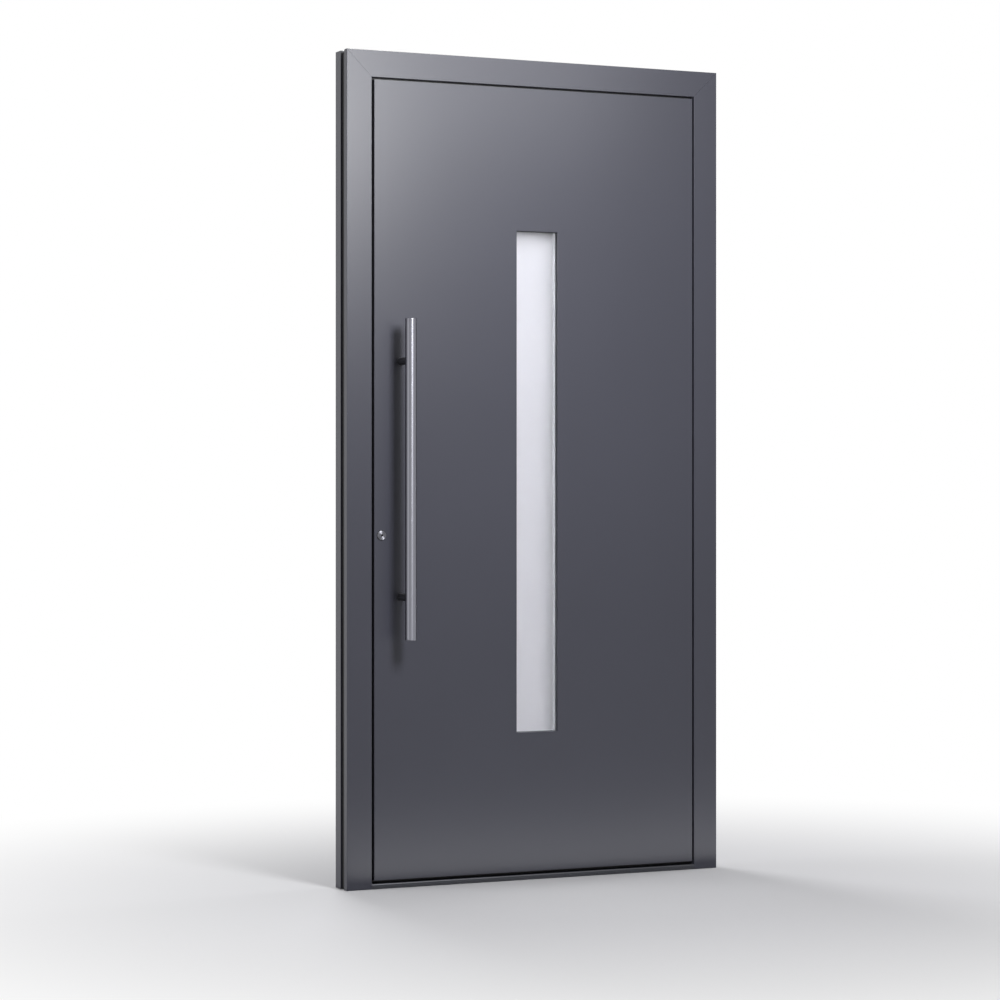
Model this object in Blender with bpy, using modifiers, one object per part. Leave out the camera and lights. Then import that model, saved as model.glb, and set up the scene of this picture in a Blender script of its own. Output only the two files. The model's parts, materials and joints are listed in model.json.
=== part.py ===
"""Aluminium front door set: a flush leaf with a narrow light slot and a long bar handle.

Metres, +Z up. X runs along the wall, with the lock on the left seen from outside.
Y runs from outside to inside. The origin is on the ground under the middle of the
threshold, halfway through the frame's depth. The leaf turns inwards on three hinges.

Sections are drawn as (a, v) points: a is measured from the wall side of a frame
member, or from the edge of the leaf, towards its middle, and v from the outside face
inwards.
"""
import math

import bmesh
import bpy
from mathutils import Matrix, Vector

# Frame
FRAME_WIDTH = 1.100
FRAME_HEIGHT = 2.200
FRAME_DEPTH = 0.080
FRAME_FACE = 0.070
LIP_DEPTH = 0.020
LIP_OVERHANG = 0.020
BREAK_DEPTH = 0.024
BREAK_INSET = 0.005
PROFILE_WALL = 0.002
BREAK_WALL = 0.003
EDGE_RADIUS = 0.0008

# Hardware groove on the rebate side of the inner profiles
PLATE_WIDTH = 0.024
PLATE_THICKNESS = 0.003
PLATE_CENTRE = 0.062
GROOVE_SHOULDER = 0.003
GROOVE_DEPTH = 0.014

# Threshold
SILL_FRONT_HEIGHT = 0.0125
SILL_STOP_HEIGHT = 0.015
SILL_STOP_WIDTH = 0.008
SILL_RAMP = 0.004
SILL_EDGE = 0.002
SILL_INNER_HEIGHT = 0.005
FLUTE_WIDTH = 0.002
FLUTE_DEPTH = 0.001
FLUTE_COUNT = 5

# Running gaps round the closed leaf
LOCK_GAP = 0.007
HINGE_GAP = 0.006
HEAD_GAP = 0.006
REBATE_GAP = 0.009
LEAF_LIFT = 0.022
FLANGE_LIFT = 0.011

# Seal on the back of the frame's lip
SEAL_WIDTH = 0.009
SEAL_THICKNESS = 0.0035
SEAL_INSET = 0.0035

# Leaf
SHEET = 0.003
STILE_WIDTH = 0.060
LEAF_BREAK_INSET = 0.004
SHEET_RADIUS = 0.001
FACEPLATE_FROM_END = 0.190
BOLT_REVEAL = 0.0008

# Light slot and its triple glazing
SLOT_WIDTH = 0.121
SLOT_ABOVE_FOOT = 0.374
SLOT_BELOW_TOP = 0.383
SLOT_RETURN = 0.010
PANE = 0.004
CAVITY = 0.018
GLASS_COVER = 0.012
BEAD_LIP = 0.008
BEAD_PROUD = 0.002
BEAD_STEP = 0.002
ARRIS = 0.0005

# Bar handle
BAR_DIAMETER = 0.030
BAR_LENGTH = 0.840
BAR_CENTRE_HEIGHT = 1.075
BAR_INSET = 0.074
BAR_STANDOFF = 0.072
BAR_CHAMFER = 0.001
POST_DIAMETER = 0.020
POST_SPACING = 0.620

# Lock, lever and strikes
LOCK_INSET = 0.0205
LOCK_HEIGHT = 0.928
CYLINDER_DIAMETER = 0.022
CYLINDER_PROUD = 0.0042
PLUG_DIAMETER = 0.015
PLUG_GROOVE = 0.0006
KEYWAY_WIDTH = 0.0024
KEYWAY_HEIGHT = 0.009
KEYWAY_DEPTH = 0.006
COLLAR_DIAMETER = 0.0265
COLLAR_PROUD = 0.0035
ROSE_DIAMETER = 0.052
ROSE_THICKNESS = 0.009
LEVER_RISE = 0.092
LEVER_DIAMETER = 0.019
LEVER_STANDOFF = 0.046
LEVER_LENGTH = 0.128
LEVER_BEND = 0.016
LATCH_RISE = 0.105
LATCH_LENGTH = 0.034
DEADBOLT_RISE = 0.030
DEADBOLT_LENGTH = 0.044
HOOK_LENGTH = 0.056
HOOK_FROM_END = 0.350
BOLT_WIDTH = 0.013
KEEP_MARGIN = 0.030
KEEP_PLAY = 0.001

# Hinges
AXIS_BEYOND_LEAF = 0.003
AXIS_STANDOFF = 0.012
BARREL_DIAMETER = 0.022
PIN_DIAMETER = 0.012
PIN_PLAY = 0.0004
LEAF_KNUCKLE = 0.032
FRAME_KNUCKLE = 0.054
KNUCKLE_GAP = 0.0006
WING_THICKNESS = 0.003
WING_SETBACK = 0.001
FRAME_WING = 0.037
LEAF_WING = 0.048
WING_RADIUS = 0.004
HINGE_FROM_END = 0.230
BARREL_ROUND = 0.001

# Clearance between pieces that touch
FIT = 0.0003

# How finely round pieces are divided
ARC_STEPS = 3
TURN_STEPS = 32
HINGE_STEPS = 24

# Places worked out from the sizes above
OUTSIDE = -FRAME_DEPTH / 2
INSIDE = FRAME_DEPTH / 2
INNER_FACE = FRAME_FACE - LIP_OVERHANG
BREAK_END = LIP_DEPTH + BREAK_DEPTH
FLANGE_FRONT = LIP_DEPTH + REBATE_GAP
HALF_WIDTH = FRAME_WIDTH / 2

FACE_LEFT = -HALF_WIDTH + FRAME_FACE + LOCK_GAP
FACE_RIGHT = HALF_WIDTH - FRAME_FACE - HINGE_GAP
FACE_TOP = FRAME_HEIGHT - FRAME_FACE - HEAD_GAP
FLANGE_LEFT = FACE_LEFT - LIP_OVERHANG
FLANGE_RIGHT = FACE_RIGHT + LIP_OVERHANG
FLANGE_TOP = FACE_TOP + LIP_OVERHANG

SLOT_CENTRE = (FACE_LEFT + FACE_RIGHT) / 2
SLOT_BOTTOM = LEAF_LIFT + SLOT_ABOVE_FOOT
SLOT_TOP = FACE_TOP - SLOT_BELOW_TOP
LOCK_X = FACE_LEFT + LOCK_INSET
BAR_X = FACE_LEFT + BAR_INSET
HINGE_X = FLANGE_RIGHT + AXIS_BEYOND_LEAF
HINGE_Y = INSIDE + AXIS_STANDOFF

# Colours are linear, with roughness and metallic values
FINISHES = {
    "anthracite": ((0.062, 0.067, 0.078), 0.45, 0.0),
    "mill_aluminium": ((0.62, 0.63, 0.64), 0.35, 1.0),
    "dark_anodised": ((0.055, 0.058, 0.064), 0.40, 0.6),
    "polyamide": ((0.012, 0.012, 0.013), 0.55, 0.0),
    "rubber": ((0.008, 0.008, 0.009), 0.75, 0.0),
    "brushed_steel": ((0.56, 0.56, 0.57), 0.28, 1.0),
    "clear_glass": ((0.80, 0.86, 0.86), 0.03, 0.0),
    "satin_glass": ((0.68, 0.70, 0.73), 0.45, 0.0),
    "spacer_grey": ((0.42, 0.44, 0.47), 0.50, 0.0),
    "foam": ((0.55, 0.50, 0.36), 0.90, 0.0),
}

# For each side of a rectangle: the direction of a, and the direction of its length
SIDES = {
    "lock": (Vector((1, 0, 0)), Vector((0, 0, 1))),
    "head": (Vector((0, 0, -1)), Vector((1, 0, 0))),
    "hinge": (Vector((-1, 0, 0)), Vector((0, 0, -1))),
    "foot": (Vector((0, 0, 1)), Vector((-1, 0, 0))),
}


# Scene, materials and objects

def clear_scene():
    for obj in list(bpy.data.objects):
        bpy.data.objects.remove(obj, do_unlink=True)
    for collection in list(bpy.data.collections):
        bpy.data.collections.remove(collection)


def add_collection(name):
    collection = bpy.data.collections.new(name)
    bpy.context.scene.collection.children.link(collection)
    return collection


def surface(name, finish):
    colour, roughness, metallic = FINISHES[finish]
    made = bpy.data.materials.new(name)
    made.use_nodes = True
    shader = made.node_tree.nodes["Principled BSDF"]
    shader.inputs["Base Color"].default_value = (*colour, 1.0)
    shader.inputs["Roughness"].default_value = roughness
    shader.inputs["Metallic"].default_value = metallic
    made.diffuse_color = (*colour, 1.0)
    return made


def add_pivot(name, place):
    pivot = bpy.data.objects.new(name, None)
    pivot.location = place
    pivot.empty_display_size = 0.1
    bpy.data.collections["front_door"].objects.link(pivot)
    return pivot


def add_part(name, mesh, finish, placement, body):
    """Put a mesh in the scene as a named piece of the frame or of the leaf"""
    part = bpy.data.objects.new(name, mesh)
    bpy.data.collections["front_door"].objects.link(part)
    mesh.materials.clear()
    mesh.materials.append(surface(name + "_finish", finish))
    pivot = bpy.data.objects[body]
    part.parent = pivot
    part.matrix_parent_inverse = Matrix.Translation(-pivot.location)
    part.matrix_basis = placement
    return part


def add_tool(name, mesh, placement):
    """A solid that only cuts or joins others"""
    tool = bpy.data.objects.new(name, mesh)
    bpy.data.collections["cutters"].objects.link(tool)
    tool.matrix_basis = placement
    tool.hide_render = True
    tool.display_type = "WIRE"
    return tool


def combine(part, tool, operation):
    change = part.modifiers.new(tool.name, "BOOLEAN")
    change.operation = operation
    change.solver = "EXACT"
    change.object = tool


def bevel_edges(part, width, segments=2):
    change = part.modifiers.new("Edges", "BEVEL")
    change.width = width
    change.segments = segments
    change.limit_method = "ANGLE"
    change.angle_limit = math.radians(35)
    change.harden_normals = False


# Outlines

def rectangle(left, right, bottom, top):
    return [(left, bottom), (right, bottom), (right, top), (left, top)]


def rounded(corners, radius, steps=ARC_STEPS):
    """The outline through the corners, each one rounded by an arc"""
    points = []
    for index, corner in enumerate(corners):
        here = Vector(corner)
        before = (Vector(corners[index - 1]) - here).normalized()
        after = (Vector(corners[(index + 1) % len(corners)]) - here).normalized()
        half = before.angle(after) / 2
        centre = here + (before + after).normalized() * radius / math.sin(half)
        start = here + before * radius / math.tan(half) - centre
        end = here + after * radius / math.tan(half) - centre
        first = math.atan2(start.y, start.x)
        sweep = math.atan2(start.cross(end), start.dot(end))
        for step in range(steps + 1):
            angle = first + sweep * step / steps
            across = centre.x + radius * math.cos(angle)
            up = centre.y + radius * math.sin(angle)
            points.append((across, up))
    return points


def mesh_from_curve(curve):
    """The mesh of a curve, with its caps joined to its sides"""
    guide = bpy.data.objects.new("guide", curve)
    bpy.context.scene.collection.objects.link(guide)
    bpy.context.view_layer.update()
    depsgraph = bpy.context.evaluated_depsgraph_get()
    mesh = bpy.data.meshes.new_from_object(guide.evaluated_get(depsgraph))
    bpy.data.objects.remove(guide)
    shape = bmesh.new()
    shape.from_mesh(mesh)
    bmesh.ops.remove_doubles(shape, verts=shape.verts, dist=0.00001)
    bmesh.ops.recalc_face_normals(shape, faces=shape.faces)
    shape.to_mesh(mesh)
    shape.free()
    return mesh


def extrude_outlines(name, outlines, thickness):
    """A plate of the first outline with the others as holes, centred on its plane"""
    curve = bpy.data.curves.new(name, "CURVE")
    curve.dimensions = "2D"
    curve.fill_mode = "BOTH"
    curve.extrude = thickness / 2
    for outline in outlines:
        spline = curve.splines.new("POLY")
        spline.points.add(len(outline) - 1)
        spline.use_cyclic_u = True
        for point, (first, second) in zip(spline.points, outline):
            point.co = (first, second, 0.0, 1.0)
    return mesh_from_curve(curve)


# Basic solids

def depth_y(v):
    return OUTSIDE + v


def facing_outside(x, y, z):
    """Placement that turns a flat outline upright, its own Z pointing outside"""
    return Matrix.Translation((x, y, z)) @ Matrix.Rotation(math.radians(90), 4, "X")


def box_mesh(name, size):
    shape = bmesh.new()
    bmesh.ops.create_cube(shape, size=1.0)
    bmesh.ops.scale(shape, vec=size, verts=shape.verts)
    mesh = bpy.data.meshes.new(name)
    shape.to_mesh(mesh)
    shape.free()
    return mesh


def box_between(name, low, high):
    """A box mesh and its placement from two opposite corners"""
    low = Vector(low)
    high = Vector(high)
    return box_mesh(name, high - low), Matrix.Translation((low + high) / 2)


def cylinder_mesh(name, diameter, length, steps=TURN_STEPS):
    shape = bmesh.new()
    bmesh.ops.create_cone(
        shape, cap_ends=True, segments=steps, depth=length,
        radius1=diameter / 2, radius2=diameter / 2,
    )
    mesh = bpy.data.meshes.new(name)
    shape.to_mesh(mesh)
    shape.free()
    return mesh


def turned_mesh(name, profile, steps=TURN_STEPS):
    """Turn (radius, height) points about Z, listed from the top down the outer side"""
    line = bmesh.new()
    points = [line.verts.new((radius, 0.0, height)) for radius, height in profile]
    for first, second in zip(points, points[1:]):
        line.edges.new((first, second))
    if profile[0][0] > 0:
        line.edges.new((points[-1], points[0]))
    mesh = bpy.data.meshes.new(name)
    line.to_mesh(mesh)
    line.free()
    lathe = bpy.data.objects.new(name + "_lathe", mesh)
    bpy.context.scene.collection.objects.link(lathe)
    screw = lathe.modifiers.new("Turn", "SCREW")
    screw.steps = steps
    screw.render_steps = steps
    screw.use_merge_vertices = True
    screw.merge_threshold = 0.00001
    bpy.context.view_layer.update()
    depsgraph = bpy.context.evaluated_depsgraph_get()
    turned = bpy.data.meshes.new_from_object(lathe.evaluated_get(depsgraph))
    bpy.data.objects.remove(lathe)
    return turned


def shade_round(mesh):
    mesh.shade_smooth()
    mesh.set_sharp_from_angle(angle=math.radians(35))


# Mitred profiles

def add_profile(name, side, rect, outlines, mitres, finish, body):
    """A straight profile along one side of a rectangle, in a walk round it

    rect is (left, right, bottom, top), and mitres says for the start and the end of
    the walk along this side whether the profile is cut at 45 degrees there.
    """
    left, right, bottom, top = rect
    starts = {
        "lock": (left, bottom),
        "head": (left, top),
        "hinge": (right, top),
        "foot": (right, bottom),
    }
    upright = side in ("lock", "hinge")
    length = top - bottom if upright else right - left
    mesh = extrude_outlines(name, outlines, length)
    pull = FIT / math.sqrt(2)
    for vertex in mesh.vertices:
        if vertex.co.z < 0 and mitres[0]:
            vertex.co.z += vertex.co.x + pull
        if vertex.co.z > 0 and mitres[1]:
            vertex.co.z -= vertex.co.x + pull
    across, along = SIDES[side]
    x, z = starts[side]
    middle = Vector((x, OUTSIDE, z)) + along * length / 2
    placement = Matrix.Identity(4)
    for row in range(3):
        placement[row][0] = across[row]
        placement[row][1] = (0, 1, 0)[row]
        placement[row][2] = along[row]
        placement[row][3] = middle[row]
    return add_part(name, mesh, finish, placement, body)


def frame_outer_section():
    """Shell with the lip that covers the rebate, in two chambers"""
    shell = rounded(rectangle(0, FRAME_FACE, 0, LIP_DEPTH), EDGE_RADIUS)
    back = LIP_DEPTH - PROFILE_WALL
    chamber = rectangle(PROFILE_WALL, INNER_FACE - PROFILE_WALL / 2, PROFILE_WALL, back)
    lip_start = INNER_FACE + PROFILE_WALL / 2
    lip_chamber = rectangle(lip_start, FRAME_FACE - PROFILE_WALL, PROFILE_WALL, back)
    return [shell, chamber, lip_chamber]


def frame_break_section():
    low = BREAK_INSET
    high = INNER_FACE - BREAK_INSET
    near = LIP_DEPTH + FIT
    far = BREAK_END - FIT
    bar = rectangle(low, high, near, far)
    hollow = rectangle(low + BREAK_WALL, high - BREAK_WALL, near + BREAK_WALL, far - BREAK_WALL)
    return [bar, hollow]


def frame_inner_section():
    """Inner shell with the stepped hardware groove on its rebate side"""
    wide_low = PLATE_CENTRE - PLATE_WIDTH / 2 - FIT
    wide_high = PLATE_CENTRE + PLATE_WIDTH / 2 + FIT
    narrow_low = wide_low + GROOVE_SHOULDER
    narrow_high = wide_high - GROOVE_SHOULDER
    seat = INNER_FACE - PLATE_THICKNESS - FIT
    floor = INNER_FACE - GROOVE_DEPTH
    shell = [
        (0, BREAK_END), (INNER_FACE, BREAK_END),
        (INNER_FACE, wide_low), (seat, wide_low),
        (seat, narrow_low), (floor, narrow_low),
        (floor, narrow_high), (seat, narrow_high),
        (seat, wide_high), (INNER_FACE, wide_high),
        (INNER_FACE, FRAME_DEPTH), (0, FRAME_DEPTH),
    ]
    chamber = rectangle(
        PROFILE_WALL, floor - PROFILE_WALL,
        BREAK_END + PROFILE_WALL, FRAME_DEPTH - PROFILE_WALL,
    )
    return [rounded(shell, EDGE_RADIUS / 2, steps=2), chamber]


def leaf_inner_section():
    """Inner shell of the leaf, with a shallow groove for the faceplate in its edge"""
    near = BREAK_END
    far = FRAME_DEPTH - SHEET - FIT
    low = PLATE_CENTRE - PLATE_WIDTH / 2 - FIT
    high = PLATE_CENTRE + PLATE_WIDTH / 2 + FIT
    seat = PLATE_THICKNESS + FIT
    shell = [
        (0, near), (STILE_WIDTH, near), (STILE_WIDTH, far), (0, far),
        (0, high), (seat, high), (seat, low), (0, low),
    ]
    chamber = rectangle(
        seat + PROFILE_WALL, STILE_WIDTH - PROFILE_WALL,
        near + PROFILE_WALL, far - PROFILE_WALL,
    )
    return [rounded(shell, EDGE_RADIUS / 2, steps=2), chamber]


# Frame

def make_frame_profiles():
    rect = (-HALF_WIDTH, HALF_WIDTH, 0.0, FRAME_HEIGHT)
    mitres = {"lock": (False, True), "head": (True, True), "hinge": (True, False)}
    names = {"lock": "lock_jamb", "head": "head", "hinge": "hinge_jamb"}
    layers = (
        ("outer", frame_outer_section(), "anthracite"),
        ("break", frame_break_section(), "polyamide"),
        ("inner", frame_inner_section(), "anthracite"),
    )
    for side, name in names.items():
        for layer, outlines, finish in layers:
            add_profile(f"{name}_{layer}", side, rect, outlines, mitres[side], finish, "frame")


def sill_outer_outline():
    stop_start = LIP_DEPTH - SILL_STOP_WIDTH
    corners = [
        (0, 0), (SILL_STOP_HEIGHT, 0),
        (SILL_STOP_HEIGHT, LIP_DEPTH), (0, LIP_DEPTH),
    ]
    front = [
        (SILL_FRONT_HEIGHT - SILL_EDGE, 0),
        (SILL_FRONT_HEIGHT, SILL_EDGE),
        (SILL_FRONT_HEIGHT, stop_start - SILL_RAMP),
        (SILL_STOP_HEIGHT, stop_start),
    ]
    return [corners[0], *front, *corners[2:]]


def sill_inner_outline():
    """Low tread with flutes along its top and an eased inner edge"""
    start = BREAK_END
    room = FRAME_DEPTH - start
    pitch = room / (FLUTE_COUNT + 1)
    top = [(SILL_INNER_HEIGHT, start)]
    for index in range(FLUTE_COUNT):
        centre = start + pitch * (index + 1)
        top.append((SILL_INNER_HEIGHT, centre - FLUTE_WIDTH / 2))
        top.append((SILL_INNER_HEIGHT - FLUTE_DEPTH, centre))
        top.append((SILL_INNER_HEIGHT, centre + FLUTE_WIDTH / 2))
    edge = [
        (SILL_INNER_HEIGHT, FRAME_DEPTH - SILL_EDGE),
        (SILL_INNER_HEIGHT - SILL_EDGE, FRAME_DEPTH),
        (0, FRAME_DEPTH),
    ]
    return [(0, start), *top, *edge]


def make_threshold():
    """Three strips on the ground, each between the jambs' own layers"""
    square = (False, False)
    strips = (
        ("threshold_outer", FRAME_FACE, sill_outer_outline(), "dark_anodised"),
        ("threshold_break", INNER_FACE - BREAK_INSET,
         rectangle(0, SILL_INNER_HEIGHT, LIP_DEPTH + FIT, BREAK_END - FIT), "polyamide"),
        ("threshold_inner", INNER_FACE, sill_inner_outline(), "mill_aluminium"),
    )
    for name, jamb, outline, finish in strips:
        reach = HALF_WIDTH - jamb - FIT
        rect = (-reach, reach, 0.0, FRAME_HEIGHT)
        add_profile(name, "foot", rect, [outline], square, finish, "frame")


def make_frame_seal():
    """One rubber frame on the back of the lip and of the threshold's stop"""
    reach_x = HALF_WIDTH - INNER_FACE - SEAL_INSET
    low = SILL_STOP_HEIGHT - SEAL_WIDTH
    high = FRAME_HEIGHT - INNER_FACE - SEAL_INSET
    outer = rectangle(-reach_x, reach_x, low, high)
    inner = rectangle(
        -reach_x + SEAL_WIDTH, reach_x - SEAL_WIDTH, low + SEAL_WIDTH, high - SEAL_WIDTH,
    )
    mesh = extrude_outlines("frame_seal", [outer, inner], SEAL_THICKNESS)
    middle = depth_y(LIP_DEPTH + FIT + SEAL_THICKNESS / 2)
    seal = add_part("frame_seal", mesh, "rubber", facing_outside(0, middle, 0), "frame")
    bevel_edges(seal, SEAL_THICKNESS * 0.4)


def bolt_places():
    """Each bolt of the lock: its middle height and its length"""
    return {
        "latch": (LOCK_HEIGHT + LATCH_RISE, LATCH_LENGTH),
        "deadbolt": (LOCK_HEIGHT + DEADBOLT_RISE, DEADBOLT_LENGTH),
        "lower_hook": (LEAF_LIFT + HOOK_FROM_END, HOOK_LENGTH),
        "upper_hook": (FACE_TOP - HOOK_FROM_END, HOOK_LENGTH),
    }


def make_keep(name, bolts):
    """Strike plate in the jamb's groove, with one slot for each bolt"""
    places = bolt_places()
    lows = [places[bolt][0] - places[bolt][1] / 2 for bolt in bolts]
    highs = [places[bolt][0] + places[bolt][1] / 2 for bolt in bolts]
    low = min(lows) - KEEP_MARGIN
    high = max(highs) + KEEP_MARGIN
    half_slot = BOLT_WIDTH / 2 + KEEP_PLAY
    middle = (low + high) / 2
    edge = rectangle(-PLATE_WIDTH / 2, PLATE_WIDTH / 2, low - middle, high - middle)
    outlines = [rounded(edge, EDGE_RADIUS * 2)]
    for slot_low, slot_high in zip(lows, highs):
        foot = slot_low - KEEP_PLAY - middle
        top = slot_high + KEEP_PLAY - middle
        outlines.append(rectangle(-half_slot, half_slot, foot, top))
    mesh = extrude_outlines(name, outlines, PLATE_THICKNESS)
    x = -HALF_WIDTH + INNER_FACE - PLATE_THICKNESS / 2
    upright = Matrix.Rotation(math.radians(90), 4, "Z") @ Matrix.Rotation(math.radians(90), 4, "X")
    placement = Matrix.Translation((x, depth_y(PLATE_CENTRE), middle)) @ upright
    add_part(name, mesh, "brushed_steel", placement, "frame")


def make_keeps():
    make_keep("lower_keep", ["lower_hook"])
    make_keep("main_keep", ["latch", "deadbolt"])
    make_keep("upper_keep", ["upper_hook"])


# Leaf

def slot_rectangle(extra):
    half = SLOT_WIDTH / 2 + extra
    return rectangle(SLOT_CENTRE - half, SLOT_CENTRE + half, SLOT_BOTTOM - extra, SLOT_TOP + extra)


def cylinder_bore():
    length = 2 * FRAME_DEPTH
    mesh = cylinder_mesh("cylinder_bore", CYLINDER_DIAMETER + 2 * FIT, length)
    return add_tool("cylinder_bore", mesh, facing_outside(LOCK_X, 0, LOCK_HEIGHT))


def make_outer_sheet(bore):
    """Sheet folded back round the leaf's edge and round the slot"""
    face = rectangle(FACE_LEFT, FACE_RIGHT, LEAF_LIFT, FACE_TOP)
    mesh = extrude_outlines("outer_sheet", [face, slot_rectangle(0)], 0)
    shape = bmesh.new()
    shape.from_mesh(mesh)
    rims = {LIP_DEPTH: [], SLOT_RETURN - FIT: []}
    for edge in [edge for edge in shape.edges if edge.is_boundary]:
        middle = (edge.verts[0].co + edge.verts[1].co) / 2
        in_slot = SLOT_BOTTOM <= middle.y + FIT and middle.y - FIT <= SLOT_TOP
        in_slot = in_slot and abs(middle.x - SLOT_CENTRE) <= SLOT_WIDTH / 2 + FIT
        rims[SLOT_RETURN - FIT if in_slot else LIP_DEPTH].append(edge)
    for depth, rim in rims.items():
        grown = bmesh.ops.extrude_edge_only(shape, edges=rim)
        moved = [item for item in grown["geom"] if isinstance(item, bmesh.types.BMVert)]
        bmesh.ops.translate(shape, verts=moved, vec=(0, 0, -depth))
    bmesh.ops.recalc_face_normals(shape, faces=shape.faces)
    flat = max(shape.faces, key=lambda face: face.calc_area())
    if flat.normal.z < 0:
        bmesh.ops.reverse_faces(shape, faces=shape.faces)
    shape.to_mesh(mesh)
    shape.free()
    sheet = add_part("outer_sheet", mesh, "anthracite", facing_outside(0, OUTSIDE, 0), "door_leaf")
    solid = sheet.modifiers.new("Thickness", "SOLIDIFY")
    solid.thickness = SHEET
    solid.offset = -1
    solid.solidify_mode = "NON_MANIFOLD"
    solid.nonmanifold_thickness_mode = "CONSTRAINTS"
    bevel_edges(sheet, SHEET_RADIUS)
    combine(sheet, bore, "DIFFERENCE")


def make_inner_sheet(bore):
    edge = rectangle(FLANGE_LEFT, FLANGE_RIGHT, FLANGE_LIFT, FLANGE_TOP)
    opening = slot_rectangle(GLASS_COVER + FIT)
    mesh = extrude_outlines("inner_sheet", [edge, opening], SHEET)
    placement = facing_outside(0, INSIDE - SHEET / 2, 0)
    sheet = add_part("inner_sheet", mesh, "anthracite", placement, "door_leaf")
    bevel_edges(sheet, EDGE_RADIUS)
    combine(sheet, bore, "DIFFERENCE")


def make_leaf_profiles(bore):
    rect = (FLANGE_LEFT, FLANGE_RIGHT, FLANGE_LIFT, FLANGE_TOP)
    names = {"lock": "lock_stile", "head": "top_rail", "hinge": "hinge_stile", "foot": "bottom_rail"}
    for side, name in names.items():
        outlines = leaf_inner_section()
        part = add_profile(name, side, rect, outlines, (True, True), "anthracite", "door_leaf")
        if side == "lock":
            combine(part, bore, "DIFFERENCE")


def make_leaf_break(bore):
    """Stepped polyamide frame between the outer sheet and the leaf's inner profiles"""
    inner = rectangle(
        FLANGE_LEFT + STILE_WIDTH, FLANGE_RIGHT - STILE_WIDTH,
        FLANGE_LIFT + STILE_WIDTH, FLANGE_TOP - STILE_WIDTH,
    )
    inset = LEAF_BREAK_INSET
    narrow = rectangle(FACE_LEFT + inset, FACE_RIGHT - inset, LEAF_LIFT + inset, FACE_TOP - inset)
    wide = rectangle(
        FLANGE_LEFT + inset / 2, FLANGE_RIGHT - inset / 2,
        FLANGE_LIFT + inset / 2, FLANGE_TOP - inset / 2,
    )
    whole = BREAK_DEPTH - 2 * FIT
    mesh = extrude_outlines("leaf_break", [narrow, inner], whole)
    placement = facing_outside(0, depth_y(LIP_DEPTH + BREAK_DEPTH / 2), 0)
    part = add_part("leaf_break", mesh, "polyamide", placement, "door_leaf")
    deep = BREAK_END - FIT - FLANGE_FRONT
    flange = extrude_outlines("leaf_break_flange", [wide, inner], deep)
    place = facing_outside(0, depth_y(FLANGE_FRONT + deep / 2), 0)
    combine(part, add_tool("leaf_break_flange", flange, place), "UNION")
    combine(part, bore, "DIFFERENCE")


def make_core(bore):
    """Insulating block that fills the leaf behind its sheets, with the glazing pocket"""
    edge = SHEET + FIT
    outer_low = (FACE_LEFT + edge, depth_y(edge), LEAF_LIFT + edge)
    outer_high = (FACE_RIGHT - edge, depth_y(LIP_DEPTH), FACE_TOP - edge)
    mesh, placement = box_between("insulating_core", outer_low, outer_high)
    core = add_part("insulating_core", mesh, "foam", placement, "door_leaf")
    bevel_edges(core, 2 * SHEET_RADIUS, segments=1)
    inset = STILE_WIDTH + FIT
    inner_low = (FLANGE_LEFT + inset, depth_y(LIP_DEPTH - SHEET), FLANGE_LIFT + inset)
    inner_high = (FLANGE_RIGHT - inset, depth_y(FRAME_DEPTH - edge), FLANGE_TOP - inset)
    combine(core, add_tool("core_inner", *box_between("core_inner", inner_low, inner_high)), "UNION")
    pocket = extrude_outlines("glazing_pocket", [slot_rectangle(GLASS_COVER + FIT)], 2 * FRAME_DEPTH)
    combine(core, add_tool("glazing_pocket", pocket, facing_outside(0, 0, 0)), "DIFFERENCE")
    combine(core, bore, "DIFFERENCE")


def make_glazing():
    """Three panes and two spacers, from outside to inside, and the bead behind them"""
    glass = slot_rectangle(GLASS_COVER)
    edge = slot_rectangle(0)
    layers = (
        ("outer_pane", PANE, [glass], "clear_glass"),
        ("outer_spacer", CAVITY, [glass, edge], "spacer_grey"),
        ("middle_pane", PANE, [glass], "satin_glass"),
        ("inner_spacer", CAVITY, [glass, edge], "spacer_grey"),
        ("inner_pane", PANE, [glass], "clear_glass"),
    )
    front = SLOT_RETURN
    for name, thickness, outlines, finish in layers:
        mesh = extrude_outlines(name, outlines, thickness - FIT)
        placement = facing_outside(0, depth_y(front + (thickness - FIT) / 2), 0)
        part = add_part(name, mesh, finish, placement, "door_leaf")
        if thickness == PANE:
            bevel_edges(part, ARRIS, segments=1)
        front += thickness
    make_bead(front)


def make_bead(front):
    """Stepped bead: its foot holds the glass, and its lip covers the sheet's edge"""
    seat = FRAME_DEPTH + FIT
    foot_end = seat + BEAD_PROUD / 2
    foot_outlines = [slot_rectangle(GLASS_COVER), slot_rectangle(0)]
    foot = extrude_outlines("glazing_bead", foot_outlines, foot_end - front)
    placement = facing_outside(0, depth_y((front + foot_end) / 2), 0)
    bead = add_part("glazing_bead", foot, "anthracite", placement, "door_leaf")
    lip_outlines = [slot_rectangle(GLASS_COVER + BEAD_LIP), slot_rectangle(BEAD_STEP)]
    lip = extrude_outlines("bead_lip", lip_outlines, BEAD_PROUD)
    place = facing_outside(0, depth_y(seat + BEAD_PROUD / 2), 0)
    combine(bead, add_tool("bead_lip", lip, place), "UNION")
    bevel_edges(bead, ARRIS, segments=1)


# Handle, lock and lever

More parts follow.
